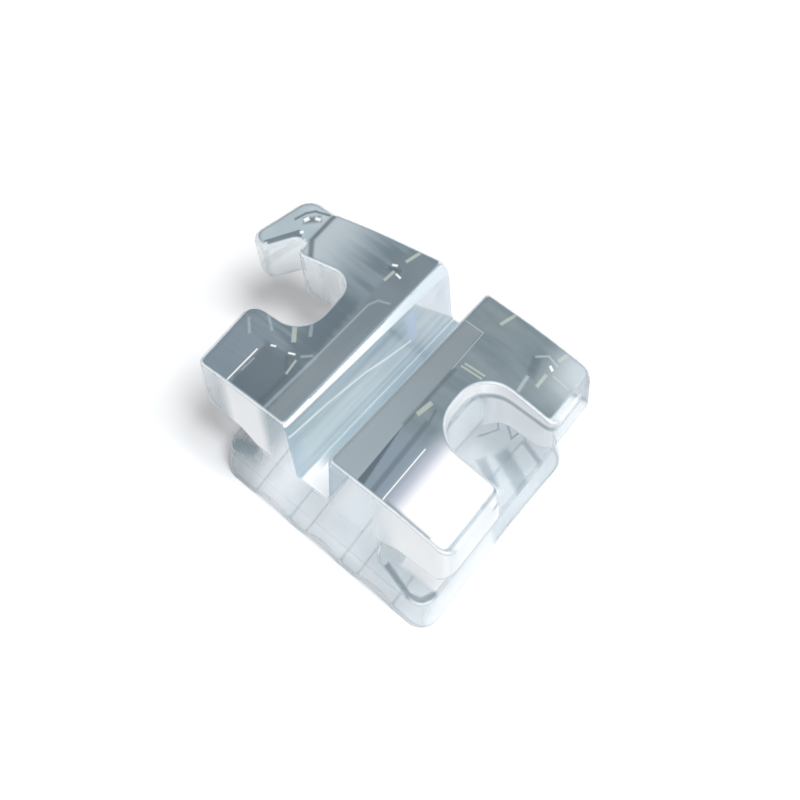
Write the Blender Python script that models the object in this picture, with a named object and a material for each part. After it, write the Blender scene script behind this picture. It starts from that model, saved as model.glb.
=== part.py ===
"""One-piece clear orthodontic bracket, standing on its bonding base.

X runs along the archwire slot, Y across it towards the hooked pair of tie-wings, Z is up from the
tooth. The sizes below are in millimetres, and the finished mesh is turned into metres. The bracket
is milled and polished from one crystal, so it is one closed solid: a cross-section along X, trimmed
from above by the outline of the wings and below by the tapered block of the base. The slot and the
two end faces stand square to X. The rest is slanted in plan by the angulation of the slot.
"""

import math

import bmesh
import bpy
from mathutils import Matrix, Vector

MM = 0.001

# Archwire slot
SLOT_FLOOR_WIDTH = 0.56
SLOT_MOUTH_WIDTH = 0.76
SLOT_DEPTH = 1.40
SLOT_EDGE_CHAMFER = 0.045
SLOT_FAR_CHAMFER = 0.13
SLOT_SLANT = 0.058

# Body and tie-wings
TOTAL_HEIGHT = 2.60
WING_LENGTH = 3.32
END_FLARE = 0.08
BODY_HALF_WIDTH = 1.15
HOOK_SIDE_REACH = 2.17
PLAIN_SIDE_REACH = 2.39
CROWN_START = 1.00
HOOK_SIDE_CROWN_DROP = 0.09
PLAIN_SIDE_CROWN_DROP = 0.17
HOOK_SIDE_TOP_EDGE_RADIUS = 0.13
PLAIN_SIDE_TOP_EDGE_RADIUS = 0.16

# Ligature grooves under the wings
GROOVE_ROOT_TOP = 1.17
HOOK_SIDE_CEILING = 1.42
PLAIN_SIDE_CEILING = 1.40
GROOVE_CEILING_RUN = 0.34
HOOK_SIDE_LIP_DROP = 0.09
PLAIN_SIDE_LIP_DROP = 0.0
HOOK_SIDE_LIP_WIDTH = 0.30
PLAIN_SIDE_LIP_WIDTH = 0.47
HOOK_SIDE_LIP_RADIUS = 0.20
PLAIN_SIDE_LIP_RADIUS = 0.40
GROOVE_RADIUS = 0.12

# Notches that part each pair of wings
NOTCH_WIDTH = 1.06
NOTCH_CENTRE = 0.06
PLAIN_NOTCH_EXTRA = 0.09
PLAIN_NOTCH_RADIUS = 0.50
HOOK_NOTCH_RADIUS_NEAR = 0.46
HOOK_NOTCH_RADIUS_FAR = 0.27
WING_CORNER_RADIUS = 0.14
NOTCH_CORNER_RADIUS = 0.30
PLAIN_CORNER_RADIUS = 0.20

# Hook on one wing
HOOK_WING_TAPER = 0.33
HOOK_WING_FLARE = 0.12
HOOK_TAPER_START = 0.35
HOOK_REACH = 2.91
HOOK_SIDE_BULGE = 0.03
HOOK_TIP_OVERHANG = 0.25
HOOK_TIP_SLANT = 0.05
HOOK_NECK_WIDTH = 0.68
HOOK_BAR_WIDTH = 0.34
HOOK_BAR_SLANT = 0.31
HOOK_TOP = 2.50
HOOK_THICKNESS = 0.89
HOOK_EDGE_RADIUS = 0.14
HOOK_NECK_STEP = 0.10
HOOK_BEND_RADIUS = 0.32
HOOK_TIP_OUTER_RADIUS = 0.16
HOOK_TIP_INNER_RADIUS = 0.13
HOOK_NECK_RADIUS = 0.10

# Bonding base
BASE_LENGTH = 3.45
BASE_SHIFT_ALONG = -0.325
BASE_END_SLANT = 0.024
BASE_REACH_HOOK_SIDE = 1.92
BASE_REACH_PLAIN_SIDE = 2.21
BASE_CORNER_RADIUS = 0.32
FLANGE_EDGE_HEIGHT = 0.66
FLANGE_ROOT_HEIGHT = 0.80
FLANGE_DRAFT = 0.10
FLANGE_EDGE_RADIUS = 0.07
SHOULDER_HEIGHT = 1.08

# Underside that is bonded to the tooth
UNDERSIDE_RISE = 0.12
ARCH_COUNT = 3
ARCH_PITCH = 1.02
ARCH_WIDTH = 0.68
ARCH_DEPTH = 0.16

ARC_STEP = math.radians(11.0)
CUT_MARGIN = 0.5
SEAM_OVERLAP = 0.12
SEAM_INSET = 0.01
SEAM_TAPER = 0.05


def clear_scene():
    for old in list(bpy.data.objects):
        bpy.data.objects.remove(old, do_unlink=True)


def rounded(corners):
    """Turn (x, y, radius) corners of a closed outline into points, with an arc at each corner."""
    points = []
    count = len(corners)
    for i, (x, y, radius) in enumerate(corners):
        here = Vector((x, y))
        before = Vector(corners[i - 1][:2]) - here
        after = Vector(corners[(i + 1) % count][:2]) - here
        turn = math.pi - before.angle(after)
        if radius <= 0.0 or turn < 1e-4:
            points.append((x, y))
            continue
        setback = radius * math.tan(turn / 2)
        start = here + before.normalized() * setback
        inward = (before.normalized() + after.normalized()).normalized()
        centre = here + inward * (radius / math.cos(turn / 2))
        spoke = start - centre
        side = 1.0 if before.cross(after) < 0.0 else -1.0
        steps = max(1, math.ceil(turn / ARC_STEP))
        for k in range(steps + 1):
            angle = side * turn * k / steps
            spin = Matrix.Rotation(angle, 2)
            points.append(tuple(centre + spin @ spoke))
    return points


def loft(name, sections):
    """A closed solid through rings that all have the same number of points."""
    bm = bmesh.new()
    rings = [[bm.verts.new(point) for point in section] for section in sections]
    for low, high in zip(rings, rings[1:]):
        for i in range(len(low)):
            j = (i + 1) % len(low)
            bm.faces.new((low[i], low[j], high[j], high[i]))
    bm.faces.new(reversed(rings[0]))
    bm.faces.new(rings[-1])
    bmesh.ops.recalc_face_normals(bm, faces=bm.faces)
    mesh = bpy.data.meshes.new(name)
    bm.to_mesh(mesh)
    bm.free()
    solid = bpy.data.objects.new(name, mesh)
    bpy.context.scene.collection.objects.link(solid)
    return solid


def prism_along_x(name, outline, start, end):
    return loft(name, [[(x, y, z) for y, z in outline] for x in (start, end)])


def prism_along_z(name, outline, start, end):
    return loft(name, [[(x, y, z) for x, y in outline] for z in (start, end)])


def settle(solid):
    """Make the object's modifiers part of its mesh."""
    bpy.context.view_layer.update()
    evaluated = solid.evaluated_get(bpy.context.evaluated_depsgraph_get())
    mesh = bpy.data.meshes.new_from_object(evaluated)
    solid.modifiers.clear()
    solid.data = mesh


def combine(solid, other, operation):
    cut = solid.modifiers.new(operation.title(), "BOOLEAN")
    cut.operation = operation
    cut.solver = "EXACT"
    cut.object = other
    settle(solid)
    bpy.data.objects.remove(other, do_unlink=True)


def bevel_edges(solid, width, segments, angle):
    bevel = solid.modifiers.new("Bevel", "BEVEL")
    bevel.width = width
    bevel.segments = segments
    bevel.limit_method = "ANGLE"
    bevel.angle_limit = angle
    bevel.use_clamp_overlap = True
    settle(solid)


def wing_side(side, reach, base_reach, crown_drop, ceiling, lip, top_radius):
    """One side of the cross-section, from the base up and round the wing to the slot.

    The lip under the wing tip is given by its width, drop and corner radius.
    """
    lip_width, lip_drop, lip_radius = lip
    flange = [
        (base_reach, 0.0, 0.0),
        (base_reach - FLANGE_DRAFT, FLANGE_EDGE_HEIGHT, FLANGE_EDGE_RADIUS),
        (BODY_HALF_WIDTH, FLANGE_ROOT_HEIGHT, GROOVE_RADIUS),
    ]
    groove = [
        (BODY_HALF_WIDTH, GROOVE_ROOT_TOP, GROOVE_RADIUS),
        (BODY_HALF_WIDTH + GROOVE_CEILING_RUN, ceiling, GROOVE_RADIUS),
        (reach - lip_width, ceiling, GROOVE_RADIUS),
        (reach, ceiling - lip_drop, lip_radius),
    ]
    tip = [(reach, TOTAL_HEIGHT - crown_drop, top_radius)]
    crown = []
    steps = 6
    for k in range(steps - 1, -1, -1):
        share = k / steps
        y = CROWN_START + share * (reach - CROWN_START)
        crown.append((y, TOTAL_HEIGHT - crown_drop * share * share, 0.0))
    return [(side * y, z, radius) for y, z, radius in flange + groove + tip + crown]


def cross_section():
    hook_lip = (HOOK_SIDE_LIP_WIDTH, HOOK_SIDE_LIP_DROP, HOOK_SIDE_LIP_RADIUS)
    plain_lip = (PLAIN_SIDE_LIP_WIDTH, PLAIN_SIDE_LIP_DROP, PLAIN_SIDE_LIP_RADIUS)
    hook_side = wing_side(1, HOOK_SIDE_REACH, BASE_REACH_HOOK_SIDE, HOOK_SIDE_CROWN_DROP,
                          HOOK_SIDE_CEILING, hook_lip, HOOK_SIDE_TOP_EDGE_RADIUS)
    plain_side = wing_side(-1, PLAIN_SIDE_REACH, BASE_REACH_PLAIN_SIDE, PLAIN_SIDE_CROWN_DROP,
                           PLAIN_SIDE_CEILING, plain_lip, PLAIN_SIDE_TOP_EDGE_RADIUS)
    return rounded(hook_side + plain_side[::-1])


def near_end(z):
    """Where the near end face of the wings and slot stands at one height."""
    return -WING_LENGTH / 2 - END_FLARE * (TOTAL_HEIGHT - z) / SLOT_DEPTH


def wing_outline(end, half):
    """The wings seen from above, with the notch that parts each pair."""
    near = NOTCH_CENTRE - NOTCH_WIDTH / 2
    far = NOTCH_CENTRE + NOTCH_WIDTH / 2
    plain_near = near
    plain_far = far + PLAIN_NOTCH_EXTRA
    root = BODY_HALF_WIDTH
    return rounded([
        (end, -PLAIN_SIDE_REACH, PLAIN_CORNER_RADIUS),
        (plain_near, -PLAIN_SIDE_REACH, WING_CORNER_RADIUS),
        (plain_near, -root, PLAIN_NOTCH_RADIUS),
        (plain_far, -root, PLAIN_NOTCH_RADIUS),
        (plain_far, -PLAIN_SIDE_REACH, WING_CORNER_RADIUS),
        (half, -PLAIN_SIDE_REACH, PLAIN_CORNER_RADIUS),
        (half, HOOK_TAPER_START, 0.0),
        (half - HOOK_WING_TAPER, HOOK_SIDE_REACH, WING_CORNER_RADIUS),
        (far - HOOK_WING_FLARE, HOOK_SIDE_REACH, WING_CORNER_RADIUS),
        (far + HOOK_WING_FLARE / 2, root, HOOK_NOTCH_RADIUS_FAR),
        (near, root, HOOK_NOTCH_RADIUS_NEAR),
        (near, HOOK_SIDE_REACH, NOTCH_CORNER_RADIUS),
        (end, HOOK_SIDE_REACH, WING_CORNER_RADIUS),
    ])


def wing_block():
    """The wings from the shoulder up, with the near end face leaning out towards the foot.

    The lowest ring is drawn in, so that it ends inside the base block.
    """
    half = WING_LENGTH / 2
    sections = []
    for z, taper in (
        (SHOULDER_HEIGHT - SEAM_OVERLAP, SEAM_TAPER),
        (SHOULDER_HEIGHT, 0.0),
        (TOTAL_HEIGHT + CUT_MARGIN, 0.0),
    ):
        outline = wing_outline(near_end(z) + taper, half - taper)
        sections.append([(x, y, z) for x, y in outline])
    return loft("wing_block", sections)


def base_ring(height, near, far, hook_side, plain_side, radius, slant=BASE_END_SLANT):
    outline = rounded([
        (near - slant * plain_side, -plain_side, radius),
        (far, -plain_side, radius),
        (far, hook_side, radius),
        (near + slant * hook_side, hook_side, radius),
    ])
    return [(x, y, height) for x, y in outline]


def base_block():
    """The tapered block that holds the base and the foot of the body."""
    near = BASE_SHIFT_ALONG - BASE_LENGTH / 2
    far = BASE_SHIFT_ALONG + BASE_LENGTH / 2
    half = WING_LENGTH / 2
    shoulder_near = near_end(SHOULDER_HEIGHT) + SEAM_INSET
    shoulder_far = half - SEAM_INSET
    hook_side = BASE_REACH_HOOK_SIDE
    plain_side = BASE_REACH_PLAIN_SIDE
    rings = [base_ring(-CUT_MARGIN, near, far, hook_side, plain_side, BASE_CORNER_RADIUS)]
    rings.append(base_ring(0.0, near, far, hook_side, plain_side, BASE_CORNER_RADIUS))
    inset = FLANGE_DRAFT
    rings.append(base_ring(FLANGE_EDGE_HEIGHT, near + inset, far - inset / 2, hook_side - inset,
                           plain_side - inset, BASE_CORNER_RADIUS - inset / 2))
    rise = SHOULDER_HEIGHT - FLANGE_EDGE_HEIGHT
    steps = 4
    for k in range(1, steps + 1):
        share = k / steps
        ease = share * (2 - share)
        rings.append(base_ring(
            FLANGE_EDGE_HEIGHT + rise * share,
            near + inset + (shoulder_near - near - inset) * ease,
            far - inset / 2 + (shoulder_far - far + inset / 2) * ease,
            hook_side - inset,
            plain_side - inset,
            BASE_CORNER_RADIUS - inset / 2,
            BASE_END_SLANT * (1 - ease),
        ))
    return loft("base_block", rings)


def hook():
    """The hook that runs on from the far wing and turns back over the notch."""
    half = WING_LENGTH / 2
    far = half - HOOK_WING_TAPER + HOOK_SIDE_BULGE
    tip = HOOK_TIP_OVERHANG
    inner = HOOK_REACH - HOOK_BAR_WIDTH
    outline = rounded([
        (far, HOOK_SIDE_REACH - CUT_MARGIN, 0.0),
        (far, HOOK_REACH - HOOK_BAR_SLANT, HOOK_BEND_RADIUS),
        (tip + HOOK_TIP_SLANT, HOOK_REACH, HOOK_TIP_OUTER_RADIUS),
        (tip, inner, HOOK_TIP_INNER_RADIUS),
        (far - HOOK_NECK_WIDTH, HOOK_SIDE_REACH + HOOK_NECK_STEP, HOOK_NECK_RADIUS),
        (far - HOOK_NECK_WIDTH, HOOK_SIDE_REACH - CUT_MARGIN, 0.0),
    ])
    solid = prism_along_z("hook", outline, HOOK_TOP - HOOK_THICKNESS, HOOK_TOP)
    bevel_edges(solid, HOOK_EDGE_RADIUS, 4, math.radians(60.0))
    return solid


def slot_cutter():
    """The archwire slot, its hook-side chamfer growing towards the far end."""
    floor = TOTAL_HEIGHT - SLOT_DEPTH
    lip = TOTAL_HEIGHT - SLOT_EDGE_CHAMFER
    mouth = SLOT_MOUTH_WIDTH / 2
    outside = mouth + SLOT_EDGE_CHAMFER + CUT_MARGIN
    growth = SLOT_FAR_CHAMFER - SLOT_EDGE_CHAMFER
    near = near_end(floor) - CUT_MARGIN
    far = WING_LENGTH / 2
    beyond = far + CUT_MARGIN
    sections = []
    for x in (near, beyond):
        grown = growth * (x + far) / (2 * far)
        outline = [
            (-SLOT_FLOOR_WIDTH / 2, floor),
            (SLOT_FLOOR_WIDTH / 2, floor),
            (mouth - grown, lip - grown),
            (outside, TOTAL_HEIGHT + CUT_MARGIN),
            (-outside, TOTAL_HEIGHT + CUT_MARGIN),
            (-mouth, lip),
        ]
        sections.append([(x, y, z) for y, z in outline])
    return loft("slot_cutter", sections)


def arch_points(centre):
    """The arched roof of one retention groove, from one foot to the other."""
    half = ARCH_WIDTH / 2
    radius = (half * half + ARCH_DEPTH * ARCH_DEPTH) / (2 * ARCH_DEPTH)
    spread = math.asin(half / radius)
    steps = 8
    points = []
    for k in range(steps + 1):
        angle = -spread + 2 * spread * k / steps
        y = centre + radius * math.sin(angle)
        points.append((y, radius * math.cos(angle) - radius + ARCH_DEPTH))
    return points


def underside_cutter():
    """Hollows the base along X for the tooth, with arched grooves that follow the hollow."""
    middle = (BASE_REACH_HOOK_SIDE - BASE_REACH_PLAIN_SIDE) / 2
    wide = BASE_REACH_PLAIN_SIDE + CUT_MARGIN
    outline = [(-wide, 0.0)]
    for k in range(ARCH_COUNT):
        centre = middle + (k - (ARCH_COUNT - 1) / 2) * ARCH_PITCH
        outline += arch_points(centre)
    outline += [(wide, 0.0), (wide, -CUT_MARGIN - UNDERSIDE_RISE), (-wide, -CUT_MARGIN - UNDERSIDE_RISE)]
    sections = []
    steps = 12
    overrun = 1.04
    for k in range(steps + 1):
        share = overrun * (2.0 * k / steps - 1.0)
        x = BASE_SHIFT_ALONG + share * BASE_LENGTH / 2
        rise = UNDERSIDE_RISE * (1.0 - share * share)
        sections.append([(x, y, z + rise) for y, z in outline])
    return loft("underside_cutter", sections)


def tidy(solid):
    """Join the slivers that the cuts leave and merge flat neighbours into one face."""
    bm = bmesh.new()
    bm.from_mesh(solid.data)
    bmesh.ops.remove_doubles(bm, verts=bm.verts, dist=0.004)
    bmesh.ops.dissolve_limit(bm, angle_limit=math.radians(0.5), verts=bm.verts, edges=bm.edges)
    bm.to_mesh(solid.data)
    bm.free()


def stand_on_origin(solid):
    """Put the middle of the bounding box over the origin, with the feet at height zero."""
    corners = [vertex.co for vertex in solid.data.vertices]
    low = Vector(min(co[axis] for co in corners) for axis in range(3))
    high = Vector(max(co[axis] for co in corners) for axis in range(3))
    middle = (low + high) / 2
    solid.data.transform(Matrix.Translation((-middle.x, -middle.y, -low.z)))


def crystal_material():
    material = bpy.data.materials.new("clear_sapphire")
    material.use_nodes = True
    shader = material.node_tree.nodes["Principled BSDF"]
    shader.inputs["Base Color"].default_value = (0.80, 0.87, 0.91, 1.0)
    shader.inputs["Roughness"].default_value = 0.05
    shader.inputs["Metallic"].default_value = 0.0
    shader.inputs["IOR"].default_value = 1.77
    shader.inputs["Transmission Weight"].default_value = 0.9
    return material


def bracket():
    reach = WING_LENGTH / 2 + BASE_LENGTH
    solid = prism_along_x("bracket_body", cross_section(), -reach, reach)
    envelope = base_block()
    combine(envelope, wing_block(), "UNION")
    combine(solid, envelope, "INTERSECT")
    combine(solid, hook(), "UNION")
    combine(solid, underside_cutter(), "DIFFERENCE")
    solid.data.transform(Matrix(((1, 0, 0, 0), (SLOT_SLANT, 1, 0, 0), (0, 0, 1, 0), (0, 0, 0, 1))))
    combine(solid, slot_cutter(), "DIFFERENCE")
    tidy(solid)
    stand_on_origin(solid)
    solid.data.transform(Matrix.Scale(MM, 4))
    solid.data.materials.clear()
    solid.data.materials.append(crystal_material())
    solid.data.shade_smooth()
    solid.data.set_sharp_from_angle(angle=math.radians(35.0))
    return solid


clear_scene()
bracket()
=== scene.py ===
"""Looks of the clear orthodontic bracket: polished crystal, pale floor and soft studio light.

Sizes are in metres. Object coordinates are the frame's own: X along the archwire slot, Y across it
towards the hook, Z up from the tooth.
"""

import math

import bpy
import numpy as np
import openvdb
from mathutils import Matrix, Vector


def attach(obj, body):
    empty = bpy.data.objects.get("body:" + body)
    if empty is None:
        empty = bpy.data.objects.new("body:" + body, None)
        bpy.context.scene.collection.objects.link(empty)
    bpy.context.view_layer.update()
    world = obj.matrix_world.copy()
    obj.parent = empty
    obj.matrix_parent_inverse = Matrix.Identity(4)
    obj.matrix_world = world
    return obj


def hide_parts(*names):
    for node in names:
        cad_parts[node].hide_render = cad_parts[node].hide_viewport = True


MM = 0.001

# The photographed view
VIEW_AZIMUTH = math.radians(-42.256)
VIEW_ELEVATION = math.radians(62.515)
VIEW_ROLL = math.radians(-7.617)
VIEW_TARGET = Vector((0.2954, -0.2622, 1.3)) * MM
VIEW_DISTANCE = 23.208 * MM
LENS = 73.04
SENSOR = 36.0

# Polishing of the edges: the level set's cell and the depth that marks a full edge in millimetres,
# the blur, the level set's width and the room around it in cells, and how often points are moved
GRAIN = 0.019
EDGE_ROUND = 0.022
SOFTNESS = 1.7
BAND = 7.0
MARGIN = 4
SETTLING = 3
MOST_TRIANGLES = 192000
EDGE = "edge"

# Where the slot's far end, half its length and its middle line lie, and the slant of the wings beside
# it, in millimetres
FAR_END = 1.8776
HALF_LENGTH = 1.66
SLOT_CENTRE = -0.2063
SLANT = 0.058

# What tells the regions apart: how level a top is, the wings' lowest top, the slot's reach and bottom
LEVEL = 0.8
TOPS_FROM = 2.1
SLOT_REACH = 0.44
SLOT_FROM = 1.17

# Polished sapphire
SAPPHIRE_IOR = 1.77
POLISHED = 0.06
MILLED = 0.30
CLEAR = 0.21
# How opaque the painted light and shade on the crowned tops are
PAINTED_TOPS_ALPHA = 0.94

# Half the side of the floor, and what the lamps are turned to, in metres
FLOOR_REACH = 0.4
LAMP_AIM = Vector((0.0, 0.0, 0.001))


def view_axes():
    """The picture's right, its up, and the way back to the camera."""
    across = Vector((math.cos(VIEW_AZIMUTH), math.sin(VIEW_AZIMUTH), 0.0))
    back = Vector((
        math.sin(VIEW_AZIMUTH) * math.cos(VIEW_ELEVATION),
        -math.cos(VIEW_AZIMUTH) * math.cos(VIEW_ELEVATION),
        math.sin(VIEW_ELEVATION),
    ))
    over = back.cross(across)
    right = across * math.cos(VIEW_ROLL) + over * math.sin(VIEW_ROLL)
    up = over * math.cos(VIEW_ROLL) - across * math.sin(VIEW_ROLL)
    return right, up, back


def add_camera():
    """The camera of the photographed view."""
    right, up, back = view_axes()
    data = bpy.data.cameras.new("camera")
    data.lens = LENS
    data.sensor_width = SENSOR
    data.clip_start = 0.001
    data.clip_end = 2.0
    camera = bpy.data.objects.new("camera", data)
    turn = Matrix((right, up, back)).transposed().to_4x4()
    camera.matrix_world = Matrix.Translation(VIEW_TARGET + back * VIEW_DISTANCE) @ turn
    bpy.context.scene.collection.objects.link(camera)
    bpy.context.scene.camera = camera


class Field:
    """A shader value that ordinary operators can be used on."""

    def __init__(self, graph, socket):
        self.graph = graph
        self.socket = socket

    def _math(self, operation, *values):
        return self.graph.add("ShaderNodeMath", {"operation": operation}, dict(enumerate(values)))

    def __add__(self, other):
        return self._math("ADD", self, other)

    __radd__ = __add__

    def __sub__(self, other):
        return self._math("SUBTRACT", self, other)

    def __rsub__(self, other):
        return self._math("SUBTRACT", other, self)

    def __mul__(self, other):
        return self._math("MULTIPLY", self, other)

    __rmul__ = __mul__

    def least(self, other):
        return self._math("MINIMUM", self, other)

    def most(self, other):
        return self._math("MAXIMUM", self, other)

    def size(self):
        return self._math("ABSOLUTE", self)

    def step(self, low, high):
        """0 at low, 1 at high, and smooth between. Low may be the greater."""
        return self.graph.add(
            "ShaderNodeMapRange",
            {"interpolation_type": "SMOOTHSTEP"},
            {"Value": self, "From Min": low, "From Max": high},
        )


class Graph:
    """Builds the nodes of one material or world."""

    def __init__(self, tree):
        self.tree = tree
        self.tree.nodes.clear()

    def add(self, kind, settings=None, inputs=None, out=0):
        node = self.tree.nodes.new(kind)
        for name, value in (settings or {}).items():
            setattr(node, name, value)
        for name, value in (inputs or {}).items():
            if isinstance(value, Field):
                self.tree.links.new(value.socket, node.inputs[name])
            else:
                node.inputs[name].default_value = value
        return Field(self, node.outputs[out]) if node.outputs else None

    def place(self):
        """Object coordinates in millimetres, as x, y and z."""
        point = self.add("ShaderNodeTexCoord", out="Object")
        scaled = self.add("ShaderNodeVectorMath", {"operation": "SCALE"}, {0: point, "Scale": 1 / MM})
        split = self.add("ShaderNodeSeparateXYZ", inputs={0: scaled}).socket.node
        return scaled, *(Field(self, split.outputs[axis]) for axis in "XYZ")

    def facing(self):
        """The surface normal, as x, y and z."""
        normal = self.add("ShaderNodeNewGeometry", out="Normal")
        split = self.add("ShaderNodeSeparateXYZ", inputs={0: normal}).socket.node
        return tuple(Field(self, split.outputs[axis]) for axis in "XYZ")

    def rays(self, kind):
        """1 for rays of one kind."""
        return self.add("ShaderNodeLightPath", out=f"Is {kind} Ray")

    def shown(self):
        """1 where the camera sees it, also in a reflection or through glass."""
        return self.rays("Camera").most(self.rays("Glossy")).most(self.rays("Transmission"))

    def mix(self, factor, first, second):
        return self.add(
            "ShaderNodeMix",
            {"data_type": "RGBA"},
            {"Factor": factor, 6: first, 7: second},
            out=2,
        )


def rgb(red, green, blue):
    return (red, green, blue, 1.0)


WHITE = rgb(1.0, 1.0, 1.0)
GLARE = rgb(0.98, 0.99, 1.0)
# White painted as light: the lit slot floor and the highlights on its chamfers and the notch rim
LIT_WHITE = rgb(0.97, 0.98, 1.0)
PALE_GLINT = rgb(0.62, 0.70, 0.76)
YELLOW_GLINT = rgb(0.60, 0.66, 0.56)
# Colour of the dark lines painted as shade in the crystal
DEEP_PAINTED_SHADE = rgb(0.075, 0.11, 0.135)


class Bracket(Graph):
    """Places and paints on the bracket. Along runs with the slot, across runs towards the hook."""

    def __init__(self, tree):
        super().__init__(tree)
        self.point, x, y, self.z = self.place()
        self.normal = self.facing()
        self.along = x - (FAR_END - HALF_LENGTH)
        self.square = y - SLOT_CENTRE
        self.across = self.square - self.along * SLANT
        self.edge = self.add("ShaderNodeAttribute", {"attribute_name": EDGE}, out="Fac")
        self.plan = self.flat(self.along, self.across)

    def flat(self, first, second):
        """A place on a plane, made ready for distance()."""
        return self.add("ShaderNodeCombineXYZ", inputs={"X": first, "Y": second, "Z": 1.0})

    def vector(self, operation, first, second, out=0):
        """One Vector Math node."""
        return self.add("ShaderNodeVectorMath", {"operation": operation}, {0: first, 1: second}, out=out)

    def distance(self, place, direction, middle):
        """How far a place lies from the middle in one direction."""
        weights = (direction.x, direction.y, -direction.dot(middle))
        return self.vector("DOT_PRODUCT", place, weights, out="Value")

    def stroke(self, place, start, end, width, soft=0.02):
        """A straight mark from start to end, with soft sides, all in millimetres."""
        start, end = Vector(start), Vector(end)
        way = (end - start).normalized()
        middle = (start + end) / 2
        down = self.distance(place, way, middle).size() - (end - start).length / 2
        beside = self.distance(place, Vector((-way.y, way.x)), middle).size()
        return down.most(beside).step(width / 2 + soft, width / 2)

    def strokes(self, marks, place=None):
        """All the marks at once, seen from above or on another place."""
        total = None
        for mark in marks:
            one = self.stroke(place or self.plan, *mark)
            total = one if total is None else total.most(one)
        return total

    def draw(self, colour, marks, strength, tint, place=None):
        """The colour with the marks drawn over it in the tint."""
        return self.mix(self.strokes(marks, place) * strength, colour, tint)

    def cloud(self, stretch, detail, offset, low, high):
        """Cloudiness from 0 to 1, drawn out along the axes by the stretch."""
        grain = self.vector("MULTIPLY_ADD", self.point, stretch)
        grain.socket.node.inputs[2].default_value = (offset, offset, offset)
        noise = self.add("ShaderNodeTexNoise", inputs={"Vector": grain, "Scale": 1.0, "Detail": detail})
        return noise.step(low, high)


def over_tops(bracket, colour, alpha, painted_light_and_shade):
    """Painted light and shade on the crowned tops, and the plain crystal where they turn down."""
    top = bracket.normal[2].step(0.84, 0.95)
    return bracket.mix(top, colour, painted_light_and_shade), alpha + top * (PAINTED_TOPS_ALPHA - alpha), 1.0


def far_share(along):
    """0 at the near end and 1 towards the far end."""
    return along.step(-1.6, 1.2)


# Painted highlights, glints and shade lines seen in the crystal of the hook side's tops: start, end,
# width and softness, along and across
HOOK_SIDE_WHITE = [
    ((-1.62, 1.58), (-1.02, 1.55), 0.0, 0.022),
    ((1.17, 0.84), (1.19, 0.80), 0.015),
    ((1.08, 0.71), (1.07, 0.64), 0.01),
    ((-0.85, 1.42), (-0.83, 1.37), 0.008),
    ((-0.79, 1.14), (-0.76, 1.07), 0.008),
    ((1.00, 2.38), (1.02, 2.37), 0.03, 0.03),
    ((1.11, 2.26), (1.12, 2.23), 0.02, 0.03),
    ((0.34, 2.61), (0.35, 2.60), 0.02, 0.02),
    ((0.80, 2.30), (0.81, 2.29), 0.02, 0.02),
]
HOOK_SIDE_YELLOW = [
    ((0.92, 0.79), (1.08, 0.77), 0.025),
    ((1.34, 0.72), (1.54, 0.66), 0.03),
    ((-0.40, 1.37), (-0.60, 1.22), 0.05),
    ((-0.83, 0.99), (-1.04, 0.97), 0.015),
]
HOOK_SIDE_PALE = [
    ((-1.62, 0.88), (-0.62, 0.80), 0.015, 0.03),
    ((-0.62, 0.80), (0.46, 0.73), 0.008),
    ((0.46, 0.73), (0.60, 0.66), 0.0, 0.03),
    ((0.60, 0.66), (0.66, 0.50), 0.0, 0.03),
    ((-0.72, 0.96), (-0.63, 0.86), 0.02),
    ((-1.38, 1.51), (-1.15, 1.49), 0.006),
    ((-0.25, 1.18), (-0.40, 1.08), 0.02, 0.03),
    ((-0.50, 1.80), (-0.66, 1.58), 0.01, 0.03),
    ((-0.72, 1.98), (-0.88, 1.82), 0.01, 0.03),
]
HOOK_SIDE_DARK = [
    ((-1.60, 0.99), (-1.10, 0.95), 0.02, 0.05),
    ((-0.87, 1.12), (-1.00, 1.02), 0.02, 0.03),
    ((1.10, 0.84), (1.14, 0.72), 0.03, 0.04),
    ((1.34, 2.07), (0.80, 2.09), 0.02, 0.06),
    ((0.80, 2.09), (0.50, 1.86), 0.02, 0.06),
]
HOOK_DARK = [
    ((0.38, 2.57), (0.74, 2.33), 0.10, 0.02),
    ((0.92, 2.51), (1.08, 2.45), 0.01, 0.03),
    ((1.08, 2.45), (1.19, 2.36), 0.01, 0.03),
    ((1.19, 2.36), (1.27, 2.14), 0.01, 0.03),
    ((1.00, 2.36), (1.11, 2.25), 0.02, 0.08),
]
HOOK_TEAL = [
    ((0.36, 2.40), (0.62, 2.20), 0.12, 0.05),
]
HOOK_PALE = [
    ((0.29, 2.36), (0.42, 1.96), 0.02),
    ((0.27, 2.47), (0.74, 2.19), 0.01, 0.02),
]


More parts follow.
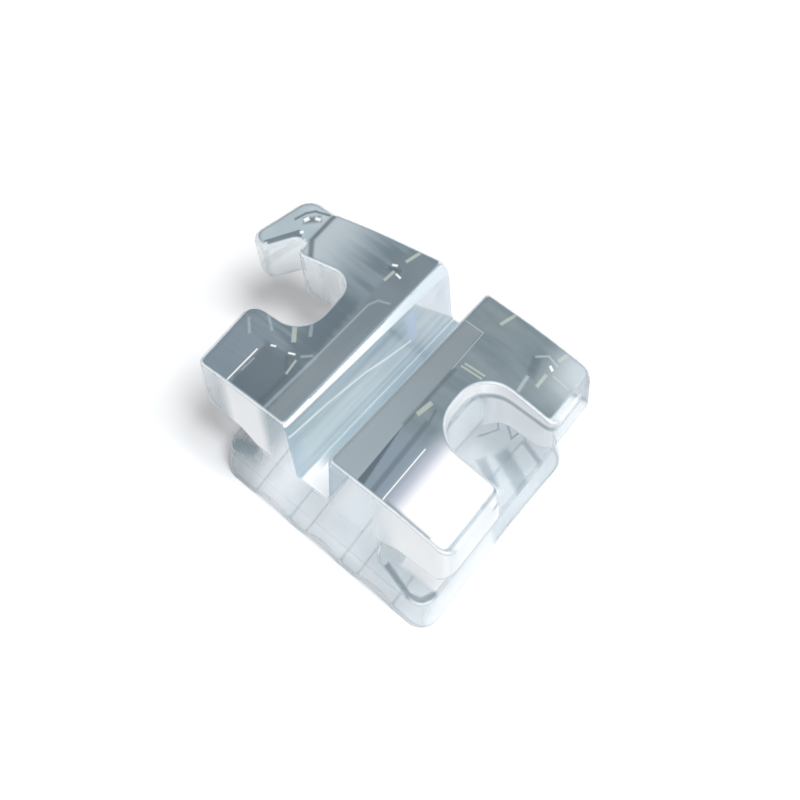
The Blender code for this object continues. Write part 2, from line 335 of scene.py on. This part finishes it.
def hook_side_tops(bracket, colour, alpha):
    """Wings and hook on the hook side: painted shade seen through the crystal, darkest over the undercut,
    pale on the hook, with painted highlights and shade lines.
    """
    along, across = bracket.along, bracket.across
    far = along.step(-0.9, 1.2)
    with_slot = bracket.cloud((0.5, 7.0, 2.0), 3.0, 0.0, 0.3, 0.7)
    with_wing = bracket.cloud((9.0, 0.8, 2.0), 2.0, 5.0, 0.35, 0.65)
    outer = bracket.mix(with_wing, rgb(0.125, 0.175, 0.21), rgb(0.19, 0.245, 0.285))
    towards_hook = across.step(0.95, 2.0) * along.step(-0.1, 0.7)
    outer = bracket.mix(towards_hook * 0.85, outer, rgb(0.50, 0.575, 0.62))
    rim = across.step(1.50, 1.62) * along.step(-0.6, -0.9)
    outer = bracket.mix(rim * 0.8, outer, rgb(0.17, 0.235, 0.285))
    inner = bracket.mix(far, rgb(0.215, 0.26, 0.285), rgb(0.14, 0.185, 0.215))
    inner = bracket.mix(with_slot * 0.35, inner, rgb(0.155, 0.20, 0.23))
    painted_light_and_shade = bracket.mix(across.step(0.86, 0.76), outer, inner)
    # Painted shade, darkest over the undercut and along the wing's root
    window = across.step(0.86, 0.94) * across.step(1.54, 1.48) * along.step(-0.80, -0.95)
    root = across.step(0.78, 0.90) * across.step(1.35, 1.05) * along.step(0.6, 0.3)
    painted_light_and_shade = bracket.mix(window.most(root * 0.85), painted_light_and_shade, rgb(0.10, 0.14, 0.17))
    painted_light_and_shade = bracket.draw(painted_light_and_shade, HOOK_SIDE_DARK, 0.8, DEEP_PAINTED_SHADE)
    painted_light_and_shade = bracket.draw(painted_light_and_shade, HOOK_SIDE_PALE, 0.3, PALE_GLINT)
    painted_light_and_shade = bracket.draw(painted_light_and_shade, HOOK_SIDE_YELLOW, 0.55, YELLOW_GLINT)
    hook = (across + along.least(0.79) * 0.8).step(2.73, 2.79) * across.step(1.80, 1.86)
    cloud = bracket.cloud((1.5, 1.5, 1.5), 2.0, 2.0, 0.35, 0.65)
    pale = bracket.mix(cloud, rgb(0.37, 0.46, 0.50), rgb(0.50, 0.59, 0.62))
    pale = bracket.draw(pale, HOOK_TEAL, 0.8, rgb(0.27, 0.38, 0.42))
    pale = bracket.draw(pale, HOOK_DARK, 0.9, rgb(0.10, 0.14, 0.165))
    pale = bracket.draw(pale, HOOK_PALE, 0.8, rgb(0.85, 0.90, 0.90))
    painted_light_and_shade = bracket.mix(hook, painted_light_and_shade, pale)
    painted_light_and_shade = bracket.draw(painted_light_and_shade, HOOK_SIDE_WHITE, 0.9, WHITE)
    return over_tops(bracket, colour, alpha, painted_light_and_shade)


# Painted highlights, glints and shade lines seen in the plain side's tops, along and across
GLARE_FRONT = [
    ((-1.63, -1.34), (-1.64, -2.00), 0.01, 0.07),
]
PLAIN_SIDE_WHITE = [
    ((1.29, -1.90), (1.31, -1.86), 0.015),
    ((-1.62, -1.24), (-0.72, -1.25), 0.0, 0.016),
]
PLAIN_SIDE_YELLOW = [
    ((0.54, -0.90), (0.56, -1.22), 0.010),
    ((0.60, -0.92), (0.62, -1.23), 0.010),
    ((1.39, -0.95), (1.66, -1.04), 0.03),
    ((1.47, -1.90), (1.65, -1.95), 0.03),
    ((1.16, -1.88), (0.98, -1.88), 0.03),
    ((-0.36, -0.86), (-0.17, -0.90), 0.05),
]
PLAIN_SIDE_PALE = [
    ((1.12, -0.44), (1.12, -0.83), 0.006, 0.012),
    ((1.12, -0.83), (0.43, -0.82), 0.004, 0.012),
    ((1.30, -1.62), (1.42, -1.75), 0.01),
    ((1.42, -1.75), (1.38, -1.92), 0.01),
    ((0.98, -1.70), (0.76, -1.72), 0.02, 0.03),
    ((1.34, -2.30), (1.28, -2.38), 0.03, 0.03),
    ((1.23, -1.97), (1.22, -2.22), 0.0, 0.02),
]
PLAIN_SIDE_DARK = [
    ((-1.62, -1.06), (-0.42, -1.04), 0.03, 0.05),
    ((-0.42, -1.06), (-0.20, -1.02), 0.01, 0.03),
    ((-0.60, -0.80), (0.43, -0.85), 0.01, 0.05),
    ((1.24, -1.66), (1.06, -1.72), 0.05, 0.08),
]


def plain_side_tops(bracket, colour, alpha):
    """Wings on the plain side: the slot floor painted as it shows through, then painted shade, then a
    painted white glare.
    """
    along, across = bracket.along, bracket.across
    near = along.step(-0.35, -0.95)
    with_slot = bracket.cloud((0.5, 7.0, 2.0), 3.0, 0.0, 0.3, 0.7)
    with_wing = bracket.cloud((5.0, 0.8, 2.0), 2.0, 9.0, 0.3, 0.7)
    painted_light_and_shade = bracket.mix(with_wing, rgb(0.13, 0.18, 0.205), rgb(0.195, 0.25, 0.275))
    painted_light_and_shade = bracket.mix(with_slot * 0.4, painted_light_and_shade, rgb(0.15, 0.20, 0.23))
    painted_light_and_shade = bracket.mix(near, painted_light_and_shade, rgb(0.20, 0.26, 0.315))
    band = across.step(-0.88, -1.02) * across.step(-1.26, -1.10) * near
    painted_light_and_shade = bracket.mix(band * 0.7, painted_light_and_shade, rgb(0.20, 0.265, 0.33))
    # A lighter panel painted where the lit slot floor is seen through the crystal
    panel = bracket.mix(far_share(along), rgb(0.30, 0.36, 0.395), rgb(0.215, 0.255, 0.28))
    floor_panel = across.step(-0.815, -0.795) * along.step(1.13, 1.11)
    painted_light_and_shade = bracket.mix(floor_panel, painted_light_and_shade, panel)
    upper = (across + 0.79 - (along + 0.50) * 0.11).step(-0.015, 0.02)
    wedge = upper * (across + 0.80).step(0.01, -0.01) * along.step(-0.5, -0.6)
    painted_light_and_shade = bracket.mix(wedge, painted_light_and_shade, rgb(0.07, 0.11, 0.14))
    painted_light_and_shade = bracket.draw(painted_light_and_shade, PLAIN_SIDE_DARK, 0.6, DEEP_PAINTED_SHADE)
    painted_light_and_shade = bracket.draw(painted_light_and_shade, PLAIN_SIDE_PALE, 0.4, PALE_GLINT)
    tip = along.step(0.7, 1.5) * across.step(-1.60, -2.20)
    painted_light_and_shade = bracket.mix(tip * 0.8, painted_light_and_shade, rgb(0.62, 0.70, 0.74))
    # A painted bluish glow around a painted white glare of reflected light
    slanted = along + across * 0.05
    glow = across.step(-1.14, -1.50) * slanted.step(-0.20, -0.60)
    painted_light_and_shade = bracket.mix(glow * 0.75, painted_light_and_shade, rgb(0.62, 0.64, 0.74))
    glare = across.step(-1.36, -1.64) * slanted.step(-0.30, -0.60)
    painted_light_and_shade = bracket.mix(glare, painted_light_and_shade, WHITE)
    # Painted shade along the glare's front edge
    painted_light_and_shade = bracket.draw(painted_light_and_shade, GLARE_FRONT, 0.8, rgb(0.16, 0.20, 0.24))
    painted_light_and_shade = bracket.draw(painted_light_and_shade, PLAIN_SIDE_YELLOW, 0.5, YELLOW_GLINT)
    painted_light_and_shade = bracket.draw(painted_light_and_shade, PLAIN_SIDE_WHITE, 1.0, WHITE)
    return over_tops(bracket, colour, alpha, painted_light_and_shade)


# Painted highlight lines, shade lines and a blue patch on the slot's hook-side wall, along and up
WALL_BRIGHT = [
    ((-1.62, 2.27), (-0.89, 2.20), 0.03, 0.03),
    ((-0.89, 2.20), (-0.15, 2.06), 0.02, 0.03),
    ((-0.15, 2.06), (0.72, 1.74), 0.02, 0.03),
]
WALL_DARK = [
    ((-1.61, 2.44), (-0.35, 2.51), 0.02, 0.04),
    ((-0.35, 2.51), (0.50, 2.39), 0.02, 0.04),
    ((0.94, 2.44), (1.63, 1.19), 0.01, 0.03),
]
WALL_BLUE = [
    ((0.78, 2.30), (0.80, 1.75), 0.10, 0.08),
]


def slot_sides(bracket, colour, alpha):
    """Slot floor painted white where it is lit, streaked blue-green wall on the hook side with painted
    highlight and shade lines, pale chamfers over both walls painted as highlights.
    """
    along, z = bracket.along, bracket.z
    _, sideways, up = bracket.normal
    hook_wall = sideways.step(-0.35, -0.60)
    floor = up.step(0.9, 0.97)

    streaks = bracket.cloud((0.35, 2.0, 7.0), 3.0, 1.0, 0.35, 0.65)
    wall = bracket.mix(far_share(along), rgb(0.20, 0.345, 0.42), rgb(0.145, 0.265, 0.35))
    wall = bracket.mix(streaks * 0.7, wall, rgb(0.34, 0.48, 0.53))
    wall = bracket.mix(along.step(-1.40, -1.62) * 0.7, wall, rgb(0.20, 0.35, 0.50))
    side = bracket.flat(along, z)
    wall = bracket.draw(wall, WALL_BLUE, 1.0, rgb(0.22, 0.36, 0.58), side)
    beyond = bracket.distance(side, Vector((0.876, 0.483)), Vector((0.94, 2.44))).step(-0.01, 0.02)
    wall = bracket.mix(beyond, wall, rgb(0.62, 0.70, 0.77))
    wall = bracket.draw(wall, WALL_DARK, 0.6, rgb(0.22, 0.34, 0.40), side)
    wall = bracket.draw(wall, WALL_BRIGHT, 0.8, rgb(0.86, 0.93, 0.95), side)
    colour = bracket.mix(hook_wall, colour, wall)

    # The slot floor painted white as light where it is lit
    lit = bracket.square.step(0.16, 0.11).most(along.step(-1.10, -1.50))
    colour = bracket.mix(floor, colour, bracket.mix(lit, wall, LIT_WHITE))
    end_line = floor * along.step(-1.69, -1.72)
    colour = bracket.mix(end_line * 0.6, colour, rgb(0.22, 0.30, 0.38))

    # The chamfers at the slot's mouth painted pale as highlights
    lip = up.step(0.15, 0.45) * sideways.size().step(0.3, 0.5) * z.step(2.30, 2.40)
    hook_lip = lip * sideways.step(0.0, -0.3)
    pale = bracket.mix(along.step(-0.6, 1.0), LIT_WHITE, rgb(0.66, 0.74, 0.79))
    colour = bracket.mix(hook_lip, bracket.mix(lip, colour, rgb(0.70, 0.77, 0.81)), pale)

    alpha = alpha * sideways.step(0.9, 0.7) + (hook_wall + floor) * 0.45 + floor * lit * 0.25
    return colour, alpha + lip * 0.35 + hook_lip * 0.2, 0.0


# Painted shade lines and painted light in the pockets and the notch, along and across
BODY_DARK = [
    ((-1.81, -1.33), (-1.93, -1.80), 0.04, 0.05),
    ((-1.93, -1.81), (-1.88, -1.98), 0.045, 0.05),
    ((-1.88, -1.99), (-1.69, -2.07), 0.045, 0.05),
    ((-1.68, -2.08), (-1.43, -2.09), 0.02, 0.04),
]
NOTCH_SHADE_LINES = [
    ((1.06, -1.09), (0.80, -1.32), 0.01, 0.02),
    ((0.80, -1.32), (0.46, -1.14), 0.01, 0.02),
    ((1.11, -1.17), (0.82, -1.55), 0.01, 0.02),
    ((0.82, -1.55), (1.03, -1.60), 0.01, 0.02),
    ((0.52, -1.66), (0.36, -2.10), 0.14, 0.12),
    ((0.25, -1.45), (0.10, -1.75), 0.06, 0.10),
    ((0.90, -1.75), (0.80, -2.10), 0.02, 0.06),
]
POCKET_SHADE = [
    ((-1.76, 1.63), (-1.71, 1.40), 0.10, 0.12),
]
POCKET_LIGHT = [
    ((-1.53, -1.58), (-1.50, -2.00), 0.22, 0.08),
]


def body_sides(bracket, colour, alpha):
    """Ends, notches, undercuts and base: clear, with dark lines painted where the body bends light,
    painted shade and highlights in the pockets, and painted highlights on the near faces and the notch
    rim.
    """
    along, across, z = bracket.along, bracket.across, bracket.z
    ahead, sideways, up = bracket.normal
    # Dark lines painted as shade where the body bends light, in its low parts
    low = z.step(1.25, 0.95) * z.step(0.45, 0.55) * up.step(0.2, 0.6)
    lines = bracket.strokes(BODY_DARK) * low + bracket.strokes(NOTCH_SHADE_LINES) * low * 0.8
    colour = bracket.mix(lines * 0.9, colour, rgb(0.13, 0.18, 0.22))

    near_face = ahead.step(-0.5, -0.8) * z.step(1.15, 1.35)
    blue = near_face * across.step(0.58, 0.44) * across.step(0.14, 0.24)
    colour = bracket.mix(blue * 0.7, colour, rgb(0.25, 0.40, 0.52))
    # Painted highlights on the near faces of both sides
    hook_side = across.step(0.74, 1.04) * across.step(1.85, 1.50)
    bright = near_face * across.step(-0.80, -1.60).most(hook_side)
    colour = bracket.mix(bright, colour, GLARE)

    pocket = bracket.strokes(POCKET_SHADE) * low
    colour = bracket.mix(pocket, colour, rgb(0.24, 0.34, 0.39))
    light = bracket.strokes(POCKET_LIGHT) * low
    colour = bracket.mix(light, colour, GLARE)
    # A painted highlight on the plain side's outer face at the near end
    outer = sideways.step(-0.5, -0.8) * along.step(-0.3, -0.5) * across.step(-2.0, -2.2)
    colour = bracket.mix(outer * 0.8, colour, GLARE)
    alpha = alpha + blue * 0.25 + bright * 0.75 + pocket * 0.35 + light * 0.5 + outer * 0.65

    in_notch = across.step(-1.0, -1.1) * along.step(1.35, 1.25) * along.step(-0.75, -0.65)
    upright = in_notch * up.size().step(0.7, 0.4)
    # A painted white highlight on the notch rim, and painted shade just under it
    rim = upright * z.step(2.24, 2.36)
    colour = bracket.mix(rim, colour, LIT_WHITE)
    under_rim = upright * z.step(2.12, 2.20) * z.step(2.32, 2.24)
    colour = bracket.mix(under_rim * 0.8, colour, rgb(0.22, 0.30, 0.35))
    return colour, alpha + lines * 0.5 + rim * 0.5 + under_rim * 0.25, 1.0


# Each region's painter and roughness. The slot is milled, and less polished than the rest.
REGIONS = [
    (hook_side_tops, POLISHED),
    (plain_side_tops, POLISHED),
    (slot_sides, MILLED),
    (body_sides, POLISHED),
]


def clear_crystal(region, roughness):
    """Clear sapphire, pale and open, with the light and shade that one region of the bracket shows of its
    inside painted on.
    """
    material = bpy.data.materials.new("clear_crystal")
    material.use_nodes = True
    bracket = Bracket(material.node_tree)
    veil = bracket.cloud((1.2, 3.0, 0.6), 2.0, 3.0, 0.35, 0.7)
    colour = bracket.mix(veil, rgb(0.48, 0.60, 0.67), rgb(0.76, 0.84, 0.89))
    colour, alpha, sharp = region(bracket, colour, CLEAR)

    # Polished edges catch the light on their crest and are darker beside it
    flank = bracket.edge.step(0.10, 0.24) * sharp
    colour = bracket.mix(flank * 0.5, colour, rgb(0.22, 0.30, 0.35))
    crest = bracket.edge.step(0.22, 0.74) * sharp
    colour = bracket.mix(crest, colour, rgb(0.93, 0.96, 1.0))

    # Denser where it is seen edge on, and on the hook side for the light that casts its shadow
    grazing = bracket.add("ShaderNodeLayerWeight", inputs={"Blend": 0.5}, out="Facing").step(0.70, 0.95)
    shade = bracket.rays("Shadow") * bracket.square.step(0.8, 1.4)
    alpha = alpha + shade * 0.26 + grazing * 0.38 + flank * 0.15 + crest * 0.3
    surface = bracket.add("ShaderNodeBsdfPrincipled", inputs={
        "Base Color": colour,
        "Alpha": alpha.least(1.0),
        "Roughness": roughness,
        "IOR": SAPPHIRE_IOR,
    })
    bracket.add("ShaderNodeOutputMaterial", inputs={"Surface": surface})
    return material


def share_out(mesh):
    """Gives each face the crystal of its region."""
    count = len(mesh.polygons)
    centres = np.empty(count * 3, np.float32)
    normals = np.empty(count * 3, np.float32)
    mesh.polygons.foreach_get("center", centres)
    mesh.polygons.foreach_get("normal", normals)
    x, y, z = centres.reshape(-1, 3).T / MM
    up = normals.reshape(-1, 3)[:, 2]
    square = y - SLOT_CENTRE
    top = (up > LEVEL) & (z > TOPS_FROM)
    slot = (np.abs(square) < SLOT_REACH) & (z > SLOT_FROM) & ~top
    region = np.where(top, np.where(square > 0, 0, 1), np.where(slot, 2, 3))  # as in REGIONS
    mesh.materials.clear()
    for paint, roughness in REGIONS:
        mesh.materials.append(clear_crystal(paint, roughness))
    mesh.polygons.foreach_set("material_index", region.astype(np.int32))
    mesh.update()


def blurred(field, width):
    """The field after a Gaussian blur, its width given in cells."""
    reach = math.ceil(3 * width)
    weights = np.exp(-0.5 * (np.arange(-reach, reach + 1) / width) ** 2)
    weights /= weights.sum()
    for axis in range(3):
        margin = [(reach, reach) if axis == other else (0, 0) for other in range(3)]
        padded = np.pad(field, margin, mode="edge")
        total = np.zeros_like(field)
        for shift, weight in enumerate(weights):
            window = [slice(None)] * 3
            window[axis] = slice(shift, shift + field.shape[axis])
            total += weight * padded[tuple(window)]
        field = total
    return field


def sampled(field, cells):
    """The field's value between its cells."""
    cell = np.clip(np.floor(cells).astype(int), 0, np.array(field.shape) - 2)
    share = cells - cell
    total = np.zeros(len(cells))
    for corner in np.ndindex(2, 2, 2):
        weight = np.prod(np.where(corner, share, 1 - share), axis=1)
        total += weight * field[tuple((cell + corner).T)]
    return total


def polished(node, name):
    """A copy of the solid whose edges are rounded all over, as polishing leaves them."""
    node.data.calc_loop_triangles()
    points = np.array([vertex.co for vertex in node.data.vertices], np.float32) / MM
    corners = np.array([triangle.vertices[:] for triangle in node.data.loop_triangles])
    points, merged = np.unique(points.round(5), axis=0, return_inverse=True)
    triangles = merged.reshape(-1)[corners].astype(np.uint32)
    transform = openvdb.createLinearTransform(voxelSize=GRAIN)
    solid = openvdb.FloatGrid.createLevelSetFromPolygons(
        points, triangles=triangles, transform=transform, halfWidth=BAND
    )
    low, high = solid.evalActiveVoxelBoundingBox()
    start = tuple(value - MARGIN for value in low)
    cells = [last - first + 2 * MARGIN + 1 for first, last in zip(low, high)]
    depth = np.full(cells, solid.background, np.float32)
    solid.copyToArray(depth, ijk=start)
    soft = blurred(depth, SOFTNESS).astype(np.float32)
    rounded = openvdb.FloatGrid(solid.background)
    rounded.copyFromArray(soft, ijk=start)
    rounded.transform = transform
    places, quads = rounded.convertToQuads(isovalue=0.0)
    mesh = bpy.data.meshes.new(name)
    mesh.from_pydata((places * MM).tolist(), [], quads.tolist())
    mesh.validate()
    piece = bpy.data.objects.new(name, mesh)
    bpy.context.scene.collection.objects.link(piece)
    thin = piece.modifiers.new("thin", "DECIMATE")
    thin.ratio = min(1.0, MOST_TRIANGLES / (2 * len(quads)))
    bpy.context.view_layer.update()
    evaluated = piece.evaluated_get(bpy.context.evaluated_depsgraph_get())
    piece.data = bpy.data.meshes.new_from_object(evaluated)
    piece.modifiers.clear()
    settle_on_surface(piece.data, depth, soft, start)
    return piece


def settle_on_surface(mesh, depth, soft, start):
    """Draws each point onto the polished surface, with its true normal and a note of how sharp it was."""
    slope = [axis.astype(np.float32) for axis in np.gradient(soft, GRAIN)]
    start = np.array(start)
    points = np.array([vertex.co for vertex in mesh.vertices]) / MM
    for _ in range(SETTLING):
        cells = points / GRAIN - start
        away = sampled(soft, cells)
        uphill = np.stack([sampled(axis, cells) for axis in slope], axis=1)
        steep = np.maximum((uphill ** 2).sum(axis=1), 0.05)
        points -= np.clip(away / steep, -GRAIN / 2, GRAIN / 2)[:, None] * uphill
    mesh.vertices.foreach_set("co", (points * MM).astype(np.float32).ravel())
    cells = points / GRAIN - start
    uphill = np.stack([sampled(axis, cells) for axis in slope], axis=1)
    uphill /= np.maximum(np.linalg.norm(uphill, axis=1), 1e-6)[:, None]
    edge = mesh.attributes.new(EDGE, "FLOAT", "POINT")
    taken = np.clip(-sampled(depth, cells) / EDGE_ROUND, -1, 1)
    edge.data.foreach_set("value", taken.astype(np.float32))
    mesh.shade_smooth()
    mesh.normals_split_custom_set_from_vertices(uphill.tolist())
    mesh.update()


def add_floor():
    """A pale floor that keeps the bracket's shadow. Its glow is painted darker and browner near the
    bracket as painted shade, and fades to white around it.
    """
    mesh = bpy.data.meshes.new("floor")
    corners = [(x * FLOOR_REACH, y * FLOOR_REACH, 0) for x, y in ((-1, -1), (1, -1), (1, 1), (-1, 1))]
    mesh.from_pydata(corners, [], [(0, 1, 2, 3)])
    floor = bpy.data.objects.new("floor", mesh)
    bpy.context.scene.collection.objects.link(floor)
    material = bpy.data.materials.new("pale_floor")
    material.use_nodes = True
    graph = Graph(material.node_tree)
    shown = graph.shown()
    paint = graph.add("ShaderNodeBsdfDiffuse", inputs={"Color": rgb(0.88, 0.90, 0.92)})
    x, y = graph.place()[1:3]
    # Painted shade: the floor's glow is weaker and browner near the bracket
    away = (x * x + y * y).step(20.0, 50.0)
    tint = graph.mix(away, rgb(0.42, 0.36, 0.32), rgb(1.0, 0.94, 0.88))
    glow = graph.add("ShaderNodeEmission", inputs={"Color": tint, "Strength": shown * 0.12})
    surface = graph.add("ShaderNodeAddShader", inputs={0: paint, 1: glow})
    graph.add("ShaderNodeOutputMaterial", inputs={"Surface": surface})
    mesh.materials.append(material)


def add_world():
    """Even studio light from above, seen brighter in the polish than it shines."""
    world = bpy.data.worlds.new("studio")
    bpy.context.scene.world = world
    world.use_nodes = True
    graph = Graph(world.node_tree)
    direction = graph.add("ShaderNodeTexCoord", out="Generated")
    height = graph.add("ShaderNodeSeparateXYZ", inputs={0: direction}, out="Z")
    sky = graph.mix(height.step(0.0, 0.8), rgb(0.55, 0.58, 0.60), WHITE)
    strength = graph.shown() * 0.14 + 0.12
    light = graph.add("ShaderNodeBackground", inputs={"Color": sky, "Strength": strength})
    graph.add("ShaderNodeOutputWorld", inputs={"Surface": light})


def add_panel(name, place, size, radiance):
    """A soft light panel that is turned to the bracket and isn't mirrored in it."""
    data = bpy.data.lights.new(name, "AREA")
    data.shape = "RECTANGLE"
    data.size, data.size_y = size
    data.energy = radiance * math.pi * size[0] * size[1]
    panel = bpy.data.objects.new(name, data)
    towards = LAMP_AIM - Vector(place)
    turn = towards.to_track_quat("-Z", "Y").to_matrix().to_4x4()
    panel.matrix_world = Matrix.Translation(place) @ turn
    panel.visible_glossy = False
    bpy.context.scene.collection.objects.link(panel)


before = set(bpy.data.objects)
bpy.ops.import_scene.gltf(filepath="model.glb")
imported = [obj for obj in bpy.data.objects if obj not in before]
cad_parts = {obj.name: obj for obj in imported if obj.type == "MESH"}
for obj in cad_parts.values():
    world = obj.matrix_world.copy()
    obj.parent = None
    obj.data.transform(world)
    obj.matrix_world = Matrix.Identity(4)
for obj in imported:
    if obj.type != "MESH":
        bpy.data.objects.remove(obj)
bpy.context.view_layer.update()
bpy.context.scene.view_settings.view_transform = "Standard"
add_camera()
add_world()
add_floor()
add_panel("key", (0.004, -0.038, 0.100), (0.036, 0.036), 29.5)
add_panel("fill", (-0.090, -0.030, 0.035), (0.060, 0.040), 2.8)

bracket = polished(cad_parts["bracket_body"], "bracket")
share_out(bracket.data)
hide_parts("bracket_body")
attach(bracket, "root")
